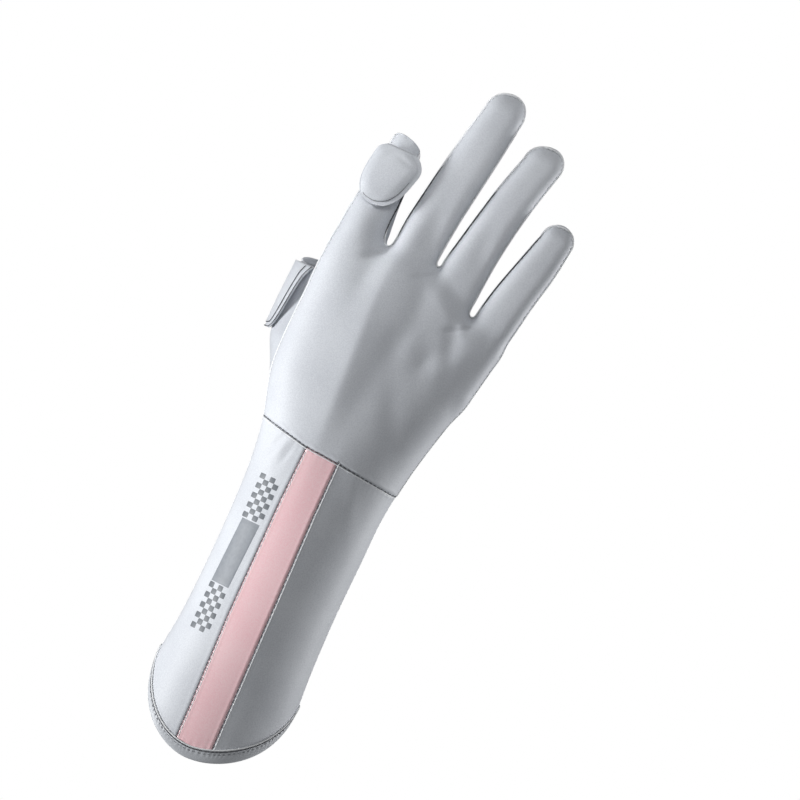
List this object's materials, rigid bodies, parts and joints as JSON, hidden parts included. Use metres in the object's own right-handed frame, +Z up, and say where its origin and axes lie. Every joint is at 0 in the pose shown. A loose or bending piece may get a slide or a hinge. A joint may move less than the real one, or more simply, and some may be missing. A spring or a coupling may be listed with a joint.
{
  "type": "sun glove",
  "caption": "Long thin sun glove for the right hand with a striped cuff and fingertip caps on the thumb and index finger that are turned back.",
  "frame": {"origin": "centre of the cuff's mouth, on the axis of the wearer's lower arm, level with the cuff's lowest edge on the back of the arm", "axes": "+Z up the arm towards the fingertips, +X towards the little finger's side, +Y towards the palm"},
  "size_m": [0.1036, 0.0627, 0.3029],
  "materials": {
    "grey_cloth": "thin smooth knit with a soft silky sheen",
    "pink_cloth": "thin smooth knit with a soft silky sheen",
    "grip": "half-clear soft silicone print, slightly glossy"
  },
  "bodies": {
    "root": {"hand_back": "grey_cloth", "palm": "grey_cloth", "thumb": "grey_cloth", "index_flap": "grey_cloth", "thumb_flap": "grey_cloth", "cuff_thumb_side": "grey_cloth", "cuff_stripe": "pink_cloth", "cuff_little_side": "grey_cloth", "hem_binding": "grey_cloth", "grip_ring": "grip", "grip_little": "grip", "grip_heel": "grip", "grip_strip_lower": "grip", "grip_strip_upper": "grip"}
  },
  "joints": []
}
